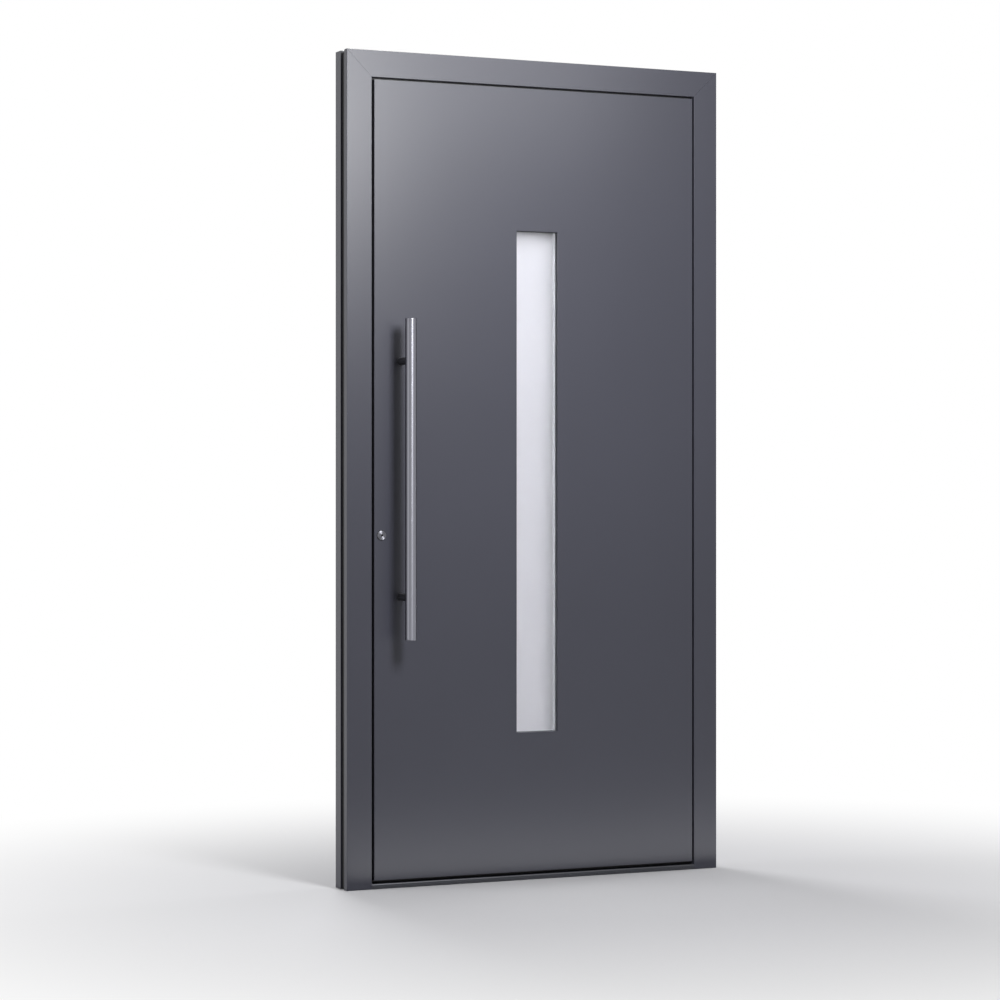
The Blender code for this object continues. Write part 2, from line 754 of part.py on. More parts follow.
def make_bar_handle():
    y = OUTSIDE - BAR_STANDOFF
    bar_mesh = cylinder_mesh("pull_bar", BAR_DIAMETER, BAR_LENGTH)
    place = Matrix.Translation((BAR_X, y, BAR_CENTRE_HEIGHT))
    bar = add_part("pull_bar", bar_mesh, "brushed_steel", place, "door_leaf")
    bevel_edges(bar, BAR_CHAMFER)
    shade_round(bar_mesh)
    seat_mesh = cylinder_mesh("bar_seat", BAR_DIAMETER + 2 * FIT, BAR_LENGTH)
    seat = add_tool("bar_seat", seat_mesh, place)
    reach = BAR_STANDOFF - FIT
    for name, offset in (("lower_post", -POST_SPACING / 2), ("upper_post", POST_SPACING / 2)):
        mesh = cylinder_mesh(name, POST_DIAMETER, reach)
        height = BAR_CENTRE_HEIGHT + offset
        post = add_part(
            name, mesh, "brushed_steel",
            facing_outside(BAR_X, OUTSIDE - FIT - reach / 2, height), "door_leaf",
        )
        combine(post, seat, "DIFFERENCE")
        shade_round(mesh)


def disc_profile(outer, inner, thickness, chamfer):
    """Closed profile of a flat ring with a chamfered front edge, front at the top"""
    return [
        (inner, thickness), (outer - chamfer, thickness),
        (outer, thickness - chamfer), (outer, 0.0), (inner, 0.0),
    ]


def make_lock():
    bore = CYLINDER_DIAMETER / 2 + FIT
    collar = turned_mesh(
        "lock_collar", disc_profile(COLLAR_DIAMETER / 2, bore, COLLAR_PROUD, EDGE_RADIUS),
    )
    shade_round(collar)
    place = facing_outside(LOCK_X, OUTSIDE - FIT, LOCK_HEIGHT)
    add_part("lock_collar", collar, "brushed_steel", place, "door_leaf")

    outer_end = FRAME_DEPTH / 2 + FIT + CYLINDER_PROUD
    inner_end = -(FRAME_DEPTH / 2 + FIT + ROSE_THICKNESS + CYLINDER_PROUD - COLLAR_PROUD)
    body = CYLINDER_DIAMETER / 2
    plug = PLUG_DIAMETER / 2
    groove = PLUG_GROOVE
    profile = [
        (0.0, outer_end), (plug, outer_end), (plug, outer_end - groove),
        (plug + groove, outer_end - groove), (plug + groove, outer_end),
        (body - groove, outer_end), (body, outer_end - groove),
        (body, inner_end + groove), (body - groove, inner_end), (0.0, inner_end),
    ]
    mesh = turned_mesh("lock_cylinder", profile)
    shade_round(mesh)
    place = facing_outside(LOCK_X, 0, LOCK_HEIGHT)
    cylinder = add_part("lock_cylinder", mesh, "brushed_steel", place, "door_leaf")
    size = Vector((KEYWAY_WIDTH, 2 * KEYWAY_DEPTH, KEYWAY_HEIGHT))
    for name, end in (("outer_keyway", -outer_end), ("inner_keyway", -inner_end)):
        tool = add_tool(name, box_mesh(name, size), Matrix.Translation((LOCK_X, end, LOCK_HEIGHT)))
        combine(cylinder, tool, "DIFFERENCE")


def facing_inside(x, y, z):
    return Matrix.Translation((x, y, z)) @ Matrix.Rotation(math.radians(-90), 4, "X")


def make_lever():
    radius = ROSE_DIAMETER / 2
    seat = INSIDE + FIT
    lever_height = LOCK_HEIGHT + LEVER_RISE
    rose_bore = CYLINDER_DIAMETER / 2 + FIT
    ring = turned_mesh("cylinder_rose", disc_profile(radius, rose_bore, ROSE_THICKNESS, EDGE_RADIUS))
    shade_round(ring)
    place = facing_inside(LOCK_X, seat, LOCK_HEIGHT)
    add_part("cylinder_rose", ring, "brushed_steel", place, "door_leaf")

    disc = cylinder_mesh("lever_rose", ROSE_DIAMETER, ROSE_THICKNESS)
    shade_round(disc)
    place = facing_inside(LOCK_X, seat + ROSE_THICKNESS / 2, lever_height)
    rose = add_part("lever_rose", disc, "brushed_steel", place, "door_leaf")
    bevel_edges(rose, EDGE_RADIUS)

    curve = bpy.data.curves.new("lever", "CURVE")
    curve.dimensions = "3D"
    curve.bevel_depth = LEVER_DIAMETER / 2
    curve.bevel_resolution = 4
    curve.use_fill_caps = True
    points = [Vector((0, 0, 0))]
    bend_steps = 2 * ARC_STEPS
    for step in range(bend_steps + 1):
        angle = math.radians(90) * step / bend_steps
        across = LEVER_BEND * (1 - math.cos(angle))
        out = LEVER_STANDOFF - LEVER_BEND + LEVER_BEND * math.sin(angle)
        points.append(Vector((across, out, 0)))
    points.append(Vector((LEVER_LENGTH, LEVER_STANDOFF, 0)))
    spline = curve.splines.new("POLY")
    spline.points.add(len(points) - 1)
    for point, place in zip(spline.points, points):
        point.co = (*place, 1.0)
    mesh = mesh_from_curve(curve)
    shade_round(mesh)
    start = (LOCK_X, seat + ROSE_THICKNESS + FIT, lever_height)
    lever = add_part("lever_handle", mesh, "brushed_steel", Matrix.Translation(start), "door_leaf")
    bevel_edges(lever, BAR_CHAMFER)


def make_faceplate():
    """Long plate in the leaf's edge, with the drawn-in bolts outlined by a fine reveal"""
    x = FLANGE_LEFT + PLATE_THICKNESS / 2
    low = LEAF_LIFT + FACEPLATE_FROM_END
    high = FACE_TOP - FACEPLATE_FROM_END
    middle = (low + high) / 2
    half = (high - low) / 2
    outline = rounded(rectangle(-PLATE_WIDTH / 2, PLATE_WIDTH / 2, -half, half), EDGE_RADIUS * 2)
    mesh = extrude_outlines("lock_faceplate", [outline], PLATE_THICKNESS)
    upright = Matrix.Rotation(math.radians(90), 4, "Z") @ Matrix.Rotation(math.radians(90), 4, "X")
    y = depth_y(PLATE_CENTRE)
    placement = Matrix.Translation((x, y, middle)) @ upright
    plate = add_part("lock_faceplate", mesh, "brushed_steel", placement, "door_leaf")
    for name, (height, length) in bolt_places().items():
        half_width = BOLT_WIDTH / 2
        inner = rectangle(-half_width, half_width, -length / 2, length / 2)
        outer = rectangle(
            -half_width - BOLT_REVEAL, half_width + BOLT_REVEAL,
            -length / 2 - BOLT_REVEAL, length / 2 + BOLT_REVEAL,
        )
        reveal = extrude_outlines(name + "_reveal", [outer, inner], 2 * BOLT_REVEAL)
        place = Matrix.Translation((FLANGE_LEFT, y, height)) @ upright
        combine(plate, add_tool(name + "_reveal", reveal, place), "DIFFERENCE")


# Hinges

def wing(name, low_x, high_x, height):
    """Flat wing of a hinge, with rounded corners, as a mesh on its own plane"""
    half = height / 2
    outline = rounded(rectangle(low_x, high_x, -half, half), WING_RADIUS)
    return extrude_outlines(name, [outline], WING_THICKNESS)


def web(name, side, low, high):
    """Block that joins a knuckle to the wing on the given side of the axis"""
    near = side * (PIN_DIAMETER / 2 + PIN_PLAY + BARREL_ROUND)
    far = side * (BARREL_DIAMETER / 2 + WING_SETBACK + WING_THICKNESS)
    back = -AXIS_STANDOFF + FIT
    front = -PIN_DIAMETER / 4
    left = min(near, far)
    right = max(near, far)
    return box_between(name, (left, back, low), (right, front, high))


def make_hinge(name, height):
    barrel = BARREL_DIAMETER / 2
    pin = PIN_DIAMETER / 2
    half_middle = FRAME_KNUCKLE / 2
    inner_end = half_middle + KNUCKLE_GAP
    outer_end = inner_end + LEAF_KNUCKLE
    pin_end = outer_end - BARREL_DIAMETER / 4
    bore = pin + PIN_PLAY
    bore_end = pin_end + PIN_PLAY
    wing_y = INSIDE + FIT + WING_THICKNESS / 2
    setback = barrel + WING_SETBACK
    wing_height = 2 * outer_end
    at_axis = Matrix.Translation((HINGE_X, HINGE_Y, height))

    frame_wing = wing(f"{name}_frame_wing", setback, setback + FRAME_WING, wing_height)
    place = facing_outside(HINGE_X, wing_y, height)
    frame_half = add_part(f"{name}_frame_half", frame_wing, "anthracite", place, "frame")
    profile = [
        (0.0, pin_end), (pin, pin_end), (pin, half_middle),
        (barrel, half_middle), (barrel, -half_middle),
        (pin, -half_middle), (pin, -pin_end), (0.0, -pin_end),
    ]
    knuckle = turned_mesh(f"{name}_frame_knuckle", profile, HINGE_STEPS)
    combine(frame_half, add_tool(f"{name}_frame_knuckle", knuckle, at_axis), "UNION")
    block, block_place = web(f"{name}_frame_web", 1, -half_middle, half_middle)
    combine(frame_half, add_tool(f"{name}_frame_web", block, at_axis @ block_place), "UNION")

    leaf_wing = wing(f"{name}_leaf_wing", -setback - LEAF_WING, -setback, wing_height)
    leaf_half = add_part(f"{name}_leaf_half", leaf_wing, "anthracite", place, "door_leaf")
    cup = [
        (0.0, outer_end), (barrel - BARREL_ROUND, outer_end), (barrel, outer_end - BARREL_ROUND),
        (barrel, inner_end), (bore, inner_end), (bore, bore_end), (0.0, bore_end),
    ]
    for level, turn in (("upper", 0), ("lower", 180)):
        knuckle = turned_mesh(f"{name}_{level}_knuckle", cup, HINGE_STEPS)
        turned = at_axis @ Matrix.Rotation(math.radians(turn), 4, "X")
        combine(leaf_half, add_tool(f"{name}_{level}_knuckle", knuckle, turned), "UNION")
        ends = (inner_end, outer_end) if turn == 0 else (-outer_end, -inner_end)
        block, block_place = web(f"{name}_{level}_web", -1, *ends)
        combine(leaf_half, add_tool(f"{name}_{level}_web", block, at_axis @ block_place), "UNION")


def make_hinges():
    lowest = FLANGE_LIFT + HINGE_FROM_END
    highest = FLANGE_TOP - HINGE_FROM_END
    make_hinge("lower_hinge", lowest)
    make_hinge("middle_hinge", (lowest + highest) / 2)
    make_hinge("upper_hinge", highest)


def main():
    clear_scene()
    add_collection("front_door")
    add_collection("cutters")
    add_pivot("frame", (0, 0, 0))
    add_pivot("door_leaf", (HINGE_X, HINGE_Y, 0))
    make_frame_profiles()
    make_threshold()
    make_frame_seal()
    make_keeps()
    bore = cylinder_bore()
    make_outer_sheet(bore)
    make_inner_sheet(bore)
    make_leaf_profiles(bore)
    make_leaf_break(bore)
    make_core(bore)
    make_glazing()
    make_bar_handle()
    make_lock()
    make_lever()
    make_faceplate()
    make_hinges()


main()
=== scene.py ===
"""Looks of the aluminium front door: materials, fine parts, stage, light and camera.

Metres, +Z up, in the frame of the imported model. X runs along the wall, with the lock
on the left seen from outside, and Y runs from outside to inside.
"""

import json
import math

import bmesh
import bpy
from mathutils import Matrix, Vector


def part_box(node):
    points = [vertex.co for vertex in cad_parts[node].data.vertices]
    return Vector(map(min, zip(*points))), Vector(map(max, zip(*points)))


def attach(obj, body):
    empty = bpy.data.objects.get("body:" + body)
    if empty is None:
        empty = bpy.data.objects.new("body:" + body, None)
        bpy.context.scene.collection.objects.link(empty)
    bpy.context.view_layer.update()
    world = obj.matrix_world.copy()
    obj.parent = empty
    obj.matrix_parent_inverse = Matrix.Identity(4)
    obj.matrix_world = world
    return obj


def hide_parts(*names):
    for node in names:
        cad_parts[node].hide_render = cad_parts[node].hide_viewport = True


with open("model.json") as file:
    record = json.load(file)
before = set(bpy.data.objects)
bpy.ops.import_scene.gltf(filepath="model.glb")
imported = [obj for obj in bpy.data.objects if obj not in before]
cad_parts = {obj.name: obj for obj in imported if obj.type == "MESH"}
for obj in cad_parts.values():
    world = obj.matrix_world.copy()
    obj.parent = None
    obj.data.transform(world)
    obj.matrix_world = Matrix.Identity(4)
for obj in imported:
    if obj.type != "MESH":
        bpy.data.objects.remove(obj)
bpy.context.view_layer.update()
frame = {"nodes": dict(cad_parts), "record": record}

NODES = frame["nodes"]
UP = Vector((0, 0, 1))

# Camera, set from the photograph's perspective
CAMERA_PLACE = (-3.3879, -7.1287, 1.0715)
CAMERA_TURN = 24.818
CAMERA_LENS = 105.16
SENSOR_WIDTH = 36.0
HORIZON_SHIFT = -0.0194

# Lamps, and cards that only show in reflections: place, aim, size and power
KEY_PLACE = (-0.20, -1.77, 2.15)
KEY_AIM = (0.0, 0.0, 1.10)
KEY_SIZE = (0.45, 0.70)
KEY_POWER = 58.0
KEY_GLOSS = 46.5
HIGH_PLACE = (-0.10, -1.70, 3.60)
HIGH_AIM = (-0.30, 0.0, 1.90)
HIGH_SIZE = (0.70, 0.70)
HIGH_POWER = 82.0
WIDE_PLACE = (0.0, -1.30, 2.90)
WIDE_AIM = (-0.30, 0.0, 1.90)
WIDE_SIZE = (1.80, 1.80)
WIDE_POWER = 58.0
LEFT_CARD_PLACE = (-2.00, -0.45, 1.10)
LEFT_CARD_SIZE = (0.70, 2.40)
LEFT_CARD_POWER = 3.4
CARD_AIM = (-0.40, -0.11, 1.10)
FOOT_CARD_PLACE = (0.40, -0.45, 0.02)
FOOT_CARD_AIM = (0.40, -0.44, 1.0)
FOOT_CARD_SIZE = (1.80, 0.66)
FOOT_CARD_POWER = 11.5
BACK_PLACE = (0.0, 2.30, 2.90)
BACK_AIM = (0.0, 0.0, 1.10)
BACK_SIZE = (1.00, 1.20)
BACK_POWER = 75.0
SIDE_REACH = 2.60
SIDE_BACK = 0.45
SIDE_HEIGHT = 1.50
SIDE_AIM = (0.0, 0.0, 1.10)
SIDE_SIZE = (0.60, 1.80)
SIDE_POWER = 26.0
WORLD_COLOUR = (0.98, 0.98, 1.0, 1.0)
WORLD_SPREAD = 0.20

# Stage
FLOOR_REACH = 40.0
FLOOR_CENTRE = (0.05, -0.35, 0.0)
FLOOR_NEAR = 0.40
FLOOR_FAR = 2.50
FLOOR_COLOUR = (0.46, 0.46, 0.475)
FLOOR_DROP = 0.0005
WHITE = (1.0, 1.0, 1.0, 1.0)
BACKDROP_RAYS = ("Is Camera Ray", "Is Glossy Ray", "Is Transmission Ray")

# Colours, linear, or the two between which a texture blends
PAINT = (0.0380, 0.0391, 0.0530)
ANODISED_DARK = (0.055, 0.057, 0.066)
ANODISED_PALE = (0.60, 0.61, 0.62)
POLYAMIDE = ((0.010, 0.010, 0.011), (0.020, 0.020, 0.021))
RUBBER = ((0.007, 0.007, 0.008), (0.013, 0.013, 0.014))
STEEL = (0.225, 0.226, 0.256)
STEEL_BAR = (0.200, 0.201, 0.228)
STEEL_LOCK = (0.18, 0.181, 0.205)
# Painted shade: steel darkened for the posts, which stand in the bar's shadow; their set screws use it
# too
STEEL_SHADED = (0.10, 0.10, 0.112)
# Painted shade: near-black steel for the keyway's ribs, a lining on its walls and a ring round its
# mouth
STEEL_KEYWAY_SHADE = (0.03, 0.03, 0.032)
SATIN_PANE = (0.545, 0.531, 0.571)
SPACER = (0.45, 0.45, 0.475)
FOAM = ((0.60, 0.55, 0.41), (0.48, 0.43, 0.30))

# Brush marks: how fine they are across, and along turned and straight pieces
MARKS_ACROSS = 2600
MARKS_ROUND = 30
MARKS_STRAIGHT = 20

# Angle from which an edge is sharp, in degrees, and steps round large to small pieces
SHARP_ANGLE = 32
TURN_STEPS = 96
ROUND_STEPS = 48
SCREW_STEPS = 24

# Fine parts, in metres
FIT = 0.0003
SCREW_HEAD = 0.0036
SCREW_PROUD = 0.0003
SCREW_SUNK = 0.0006
SCREW_CHAMFER = 0.0003
SOCKET = 0.0016
SOCKET_DEPTH = 0.0006
GLASS_COVER = 0.012
GASKET = 0.0016
SEALANT = 0.0009
SEAL_WIDTH = 0.009
BULB_RADIUS = 0.0026
SEAL_FOOT = 0.0012
CAP_LINE = 0.0026
CAP_LINE_WIDTH = 0.0004
GROOVE_DEPTH = 0.014
HINGE_BARREL = 0.011
HINGE_WING = 0.003
FRAME_SCREWS = (0.16, 0.70, 1.36, 1.98)


# Node helpers

def new_material(name):
    """An empty material with its shader and output"""
    made = bpy.data.materials.new(name)
    made.use_nodes = True
    return made, made.node_tree.nodes["Principled BSDF"]


def add_node(material, kind, **inputs):
    """A new node with values on its own sockets"""
    node = material.node_tree.nodes.new(kind)
    for name, value in inputs.items():
        node.inputs[name.replace("_", " ")].default_value = value
    return node


def join(material, source, target):
    """Link one socket to another"""
    material.node_tree.links.new(source, target)


def position(material, scale=(1, 1, 1)):
    """Object coordinates, which every piece shares with its body, scaled"""
    place = material.node_tree.nodes.new("ShaderNodeTexCoord")
    mapping = material.node_tree.nodes.new("ShaderNodeMapping")
    mapping.inputs["Scale"].default_value = scale
    join(material, place.outputs["Object"], mapping.inputs["Vector"])
    return mapping.outputs["Vector"]


def noise(material, vector, scale, detail=2.0):
    """Noise texture at a position"""
    node = add_node(material, "ShaderNodeTexNoise", Scale=scale, Detail=detail)
    join(material, vector, node.inputs["Vector"])
    return node.outputs["Fac"]


def spread(material, value, low, high, start=0.25, end=0.75):
    """A value from a texture, brought into a range"""
    node = material.node_tree.nodes.new("ShaderNodeMapRange")
    node.inputs["From Min"].default_value = start
    node.inputs["From Max"].default_value = end
    node.inputs["To Min"].default_value = low
    node.inputs["To Max"].default_value = high
    join(material, value, node.inputs["Value"])
    return node.outputs["Result"]


def blend_colours(material, value, first, second):
    """A colour between two, as a value says"""
    node = material.node_tree.nodes.new("ShaderNodeMix")
    node.data_type = "RGBA"
    node.inputs["A"].default_value = (*first, 1.0)
    node.inputs["B"].default_value = (*second, 1.0)
    join(material, value, node.inputs["Factor"])
    return node.outputs["Result"]


def combine(material, first, second, operation="ADD"):
    """Sum of two values, or the result of another operation on them"""
    node = material.node_tree.nodes.new("ShaderNodeMath")
    node.operation = operation
    join(material, first, node.inputs[0])
    join(material, second, node.inputs[1])
    return node.outputs["Value"]


def raise_surface(material, shader, height, distance, strength):
    """Fine relief on the surface"""
    bump = add_node(material, "ShaderNodeBump", Strength=strength, Distance=distance)
    join(material, height, bump.inputs["Height"])
    join(material, bump.outputs["Normal"], shader.inputs["Normal"])


def shades(colour, change):
    """Two shades of a colour, a little darker and a little lighter"""
    darker = tuple(part * (1 - change) for part in colour)
    lighter = tuple(part * (1 + change) for part in colour)
    return darker, lighter


# Materials

def powder_coat():
    """Anthracite powder coat: a fine even grain, with faint drifts of shade and gloss"""
    material, shader = new_material("powder_coat")
    place = position(material)
    grain = noise(material, place, scale=1400, detail=1.0)
    drift = noise(material, place, scale=2.2, detail=3.0)
    fleck = noise(material, place, scale=520, detail=2.0)
    darker, lighter = shades(PAINT, 0.07)
    mixed = combine(material, spread(material, drift, 0.0, 0.6), spread(material, fleck, 0.0, 0.4))
    join(material, blend_colours(material, mixed, darker, lighter), shader.inputs["Base Color"])
    join(material, spread(material, fleck, 0.30, 0.36), shader.inputs["Roughness"])
    shader.inputs["Specular IOR Level"].default_value = 0.34
    raise_surface(material, shader, grain, distance=0.00004, strength=0.2)
    return material


def dark_anodised():
    """Threshold: dark anodised aluminium, drawn along X"""
    material, shader = new_material("dark_anodised")
    drawn = noise(material, position(material, scale=(6, 900, 900)), scale=1.0, detail=3.0)
    darker, lighter = shades(ANODISED_DARK, 0.18)
    join(material, blend_colours(material, drawn, darker, lighter), shader.inputs["Base Color"])
    join(material, spread(material, drawn, 0.32, 0.46), shader.inputs["Roughness"])
    shader.inputs["Metallic"].default_value = 0.6
    raise_surface(material, shader, drawn, distance=0.00005, strength=0.4)
    return material


def satin_aluminium():
    """Inner tread: natural anodised aluminium with drawing lines along X"""
    material, shader = new_material("satin_aluminium")
    drawn = noise(material, position(material, scale=(4, 1200, 1200)), scale=1.0, detail=3.0)
    darker, lighter = shades(ANODISED_PALE, 0.05)
    join(material, blend_colours(material, drawn, darker, lighter), shader.inputs["Base Color"])
    join(material, spread(material, drawn, 0.30, 0.42), shader.inputs["Roughness"])
    shader.inputs["Metallic"].default_value = 1.0
    raise_surface(material, shader, drawn, distance=0.00004, strength=0.4)
    return material


def polyamide():
    """Thermal breaks: matt black plastic with glass fibre in it"""
    material, shader = new_material("polyamide")
    fibres = noise(material, position(material, scale=(900, 900, 120)), scale=1.0, detail=2.0)
    join(material, blend_colours(material, fibres, *POLYAMIDE), shader.inputs["Base Color"])
    join(material, spread(material, fibres, 0.48, 0.62), shader.inputs["Roughness"])
    raise_surface(material, shader, fibres, distance=0.00004, strength=0.5)
    return material


def seal_rubber():
    """Soft black seal with a faint bloom"""
    material, shader = new_material("seal_rubber")
    bloom = noise(material, position(material), scale=90, detail=4.0)
    grain = noise(material, position(material), scale=2200, detail=1.0)
    join(material, blend_colours(material, bloom, *RUBBER), shader.inputs["Base Color"])
    join(material, spread(material, bloom, 0.62, 0.78), shader.inputs["Roughness"])
    shader.inputs["Specular IOR Level"].default_value = 0.35
    raise_surface(material, shader, grain, distance=0.00004, strength=0.4)
    return material


def brushed_steel(name, scale, axis=None, colour=STEEL, rough=0.275, stretch=0.74):
    """Stainless steel with fine brush marks, which lie across the axis with the large scale

    Marks round a turned piece draw its highlights out along the piece.
    """
    material, shader = new_material(name)
    marks = noise(material, position(material, scale=scale), scale=1.0, detail=2.0)
    patches = noise(material, position(material), scale=24, detail=2.0)
    darker, lighter = shades(colour, 0.035)
    join(material, blend_colours(material, marks, darker, lighter), shader.inputs["Base Color"])
    uneven = combine(
        material,
        spread(material, marks, rough, rough + 0.02),
        spread(material, patches, 0.0, 0.02),
    )
    join(material, uneven, shader.inputs["Roughness"])
    shader.inputs["Metallic"].default_value = 1.0
    if axis:
        shader.inputs["Anisotropic"].default_value = stretch
        shader.inputs["Anisotropic Rotation"].default_value = 0.25
        tangent = material.node_tree.nodes.new("ShaderNodeTangent")
        tangent.direction_type = "RADIAL"
        tangent.axis = axis
        join(material, tangent.outputs["Tangent"], shader.inputs["Tangent"])
    raise_surface(material, shader, marks, distance=0.00001, strength=0.12)
    return material


def clear_glass():
    """Low-iron float glass with a barely uneven surface. Lamps shine through it."""
    material, shader = new_material("clear_glass")
    film = noise(material, position(material), scale=7, detail=3.0)
    shader.inputs["Base Color"].default_value = (0.965, 0.975, 0.975, 1.0)
    shader.inputs["Transmission Weight"].default_value = 1.0
    shader.inputs["IOR"].default_value = 1.5
    join(material, spread(material, film, 0.0, 0.03), shader.inputs["Roughness"])
    path = material.node_tree.nodes.new("ShaderNodeLightPath")
    through = add_node(material, "ShaderNodeBsdfTransparent", Color=(0.90, 0.92, 0.92, 1.0))
    choice = material.node_tree.nodes.new("ShaderNodeMixShader")
    output = material.node_tree.nodes["Material Output"]
    join(material, path.outputs["Is Shadow Ray"], choice.inputs["Fac"])
    join(material, shader.outputs["BSDF"], choice.inputs[1])
    join(material, through.outputs["BSDF"], choice.inputs[2])
    join(material, choice.outputs["Shader"], output.inputs["Surface"])
    return material


def satin_glass():
    """Etched pane: pale and even, it lets soft light through"""
    material, shader = new_material("satin_glass")
    etch = noise(material, position(material), scale=900, detail=2.0)
    cloud = noise(material, position(material), scale=5, detail=2.0)
    darker, lighter = shades(SATIN_PANE, 0.010)
    join(material, blend_colours(material, cloud, darker, lighter), shader.inputs["Base Color"])
    join(material, spread(material, etch, 0.64, 0.72), shader.inputs["Roughness"])
    shader.inputs["Transmission Weight"].default_value = 0.80
    shader.inputs["Specular Tint"].default_value = (0.3, 0.3, 0.3, 1.0)
    shader.inputs["IOR"].default_value = 1.5
    shader.inputs["Specular IOR Level"].default_value = 0.15
    raise_surface(material, shader, etch, distance=0.00003, strength=0.3)
    return material


def spacer_grey():
    """Warm-edge spacer: matt grey with a fine grain"""
    material, shader = new_material("spacer_grey")
    grain = noise(material, position(material), scale=1500, detail=2.0)
    darker, lighter = shades(SPACER, 0.05)
    join(material, blend_colours(material, grain, darker, lighter), shader.inputs["Base Color"])
    join(material, spread(material, grain, 0.45, 0.6), shader.inputs["Roughness"])
    raise_surface(material, shader, grain, distance=0.00004, strength=0.4)
    return material


def core_foam():
    """Rigid foam with closed cells"""
    material, shader = new_material("core_foam")
    cells = add_node(material, "ShaderNodeTexVoronoi", Scale=900)
    join(material, position(material), cells.inputs["Vector"])
    depth = cells.outputs["Distance"]
    join(material, blend_colours(material, depth, *FOAM), shader.inputs["Base Color"])
    shader.inputs["Roughness"].default_value = 0.9
    raise_surface(material, shader, depth, distance=0.0002, strength=0.6)
    return material


def dress(names, material):
    """Give CAD nodes a material on their own slots"""
    for name in names:
        slots = NODES[name].material_slots
        for slot in slots:
            slot.material = material
        if not slots:
            NODES[name].data.materials.append(material)


def make_steels():
    """Steel brushed round a piece's own axis, or along it on the flat pieces"""
    round_x = (MARKS_ACROSS, MARKS_ROUND, MARKS_ROUND)
    round_y = (MARKS_ROUND, MARKS_ACROSS, MARKS_ROUND)
    round_z = (MARKS_ROUND, MARKS_ROUND, MARKS_ACROSS)
    along_z = (MARKS_ACROSS, MARKS_ACROSS, MARKS_STRAIGHT)
    return {
        "round_x": brushed_steel("steel_round_x", round_x, "X"),
        "round_y": brushed_steel("steel_round_y", round_y, "Y"),
        "round_z": brushed_steel("steel_round_z", round_z, "Z", STEEL_BAR),
        "long_z": brushed_steel("steel_long_z", along_z),
        # painted shade: near-black steel for the inside of the keyway
        "keyway_shade_y": brushed_steel("steel_keyway_shade_y", round_y, "Y", STEEL_KEYWAY_SHADE),
        # painted shade: darkened steel for the posts in the bar's shadow
        "painted_shade_y": brushed_steel("steel_painted_shade_y", round_y, "Y", STEEL_SHADED),
        "lock_y": brushed_steel("steel_lock_y", round_y, "Y", STEEL_LOCK, rough=0.40, stretch=0.93),
    }


def make_finishes():
    """One material for each of the record's slots, apart from the steel"""
    return {
        "anthracite_paint": powder_coat(),
        "dark_anodised": dark_anodised(),
        "mill_aluminium": satin_aluminium(),
        "polyamide": polyamide(),
        "seal_rubber": seal_rubber(),
        "clear_glass": clear_glass(),
        "satin_glass": satin_glass(),
        "spacer_grey": spacer_grey(),
        "core_foam": core_foam(),
    }


def dress_nodes(finishes, steels):
    """Give every CAD node the material of its slot"""
    directions = {
        "pull_bar": "round_z",
        "lock_collar": "lock_y",
        "lock_cylinder": "lock_y",
        # the posts take steel darkened as painted shade
        "lower_post": "painted_shade_y",
        "upper_post": "painted_shade_y",
        "lever_handle": "round_x",
        "lock_faceplate": "long_z",
        "lower_keep": "long_z",
        "main_keep": "long_z",
        "upper_keep": "long_z",
    }
    for subpart in frame["record"]["subparts"]:
        node = subpart["node"]
        slot = subpart["material_slot"]
        if slot == "brushed_steel":
            dress([node], steels[directions.get(node, "round_y")])
        else:
            dress([node], finishes[slot])


# Mesh helpers

def add_piece(name, shape, material, body):
    """Turn a finished bmesh into a piece that rides on a body"""
    bmesh.ops.recalc_face_normals(shape, faces=shape.faces)
    mesh = bpy.data.meshes.new(name)
    shape.to_mesh(mesh)
    shape.free()
    mesh.shade_smooth()
    mesh.set_sharp_from_angle(angle=math.radians(SHARP_ANGLE))
    mesh.materials.append(material)
    piece = bpy.data.objects.new(name, mesh)
    bpy.context.scene.collection.objects.link(piece)
    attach(piece, body)
    return piece


def facing(direction, place):
    """Placement whose own Z points along a direction"""
    turn = Vector(direction).to_track_quat("Z", "Y").to_matrix().to_4x4()
    return Matrix.Translation(place) @ turn


def join_rings(shape, rings, closed):
    """Faces between rings of vertices, where a ring of one vertex is a tip"""
    pairs = list(zip(rings, rings[1:]))
    if closed:
        pairs.append((rings[-1], rings[0]))
    for first, second in pairs:
        count = max(len(first), len(second))
        for step in range(count):
            after = (step + 1) % count
            corners = [first[step % len(first)], first[after % len(first)]]
            corners += [second[after % len(second)], second[step % len(second)]]
            kept = list(dict.fromkeys(corners))
            shape.faces.new(kept)


def add_turned(shape, profile, place, steps=TURN_STEPS):
    """Turn (radius, height) points about Z, or (flat, height, 6) points into a hexagon"""
    rings = []
    for radius, height, *sides in profile:
        count = steps if radius else 1
        ring = []
        for step in range(count):
            angle = 2 * math.pi * step / count
            reach = radius
            if sides:
                part = 2 * math.pi / sides[0]
                reach = radius / math.cos(angle % part - part / 2)
            point = Vector((reach * math.cos(angle), reach * math.sin(angle), height))
            ring.append(shape.verts.new(place @ point))
        rings.append(ring)
    closed = bool(profile[0][0])
    join_rings(shape, rings, closed)


def add_ring(shape, rect, section):
    """Sweep (inward, y) points round a rectangle of (left, right, bottom, top)"""
    left, right, bottom, top = rect
    corners = ((left, bottom, 1, 1), (right, bottom, -1, 1), (right, top, -1, -1), (left, top, 1, -1))
    rings = []
    for x, z, in_x, in_z in corners:
        ring = [shape.verts.new((x + in_x * inward, y, z + in_z * inward)) for inward, y in section]
        rings.append(ring)
    join_rings(shape, rings, True)


def add_strip(shape, section, start, end, along):
    """Extrude a closed section of points in the other two axes along one axis"""
    rings = []
    for place in (start, end):
        ring = []
        for first, second in section:
            point = [first, second]
            point.insert(along, place)
            ring.append(shape.verts.new(point))
        rings.append(ring)
    join_rings(shape, rings, False)
    for ring in rings:
        shape.faces.new(ring)


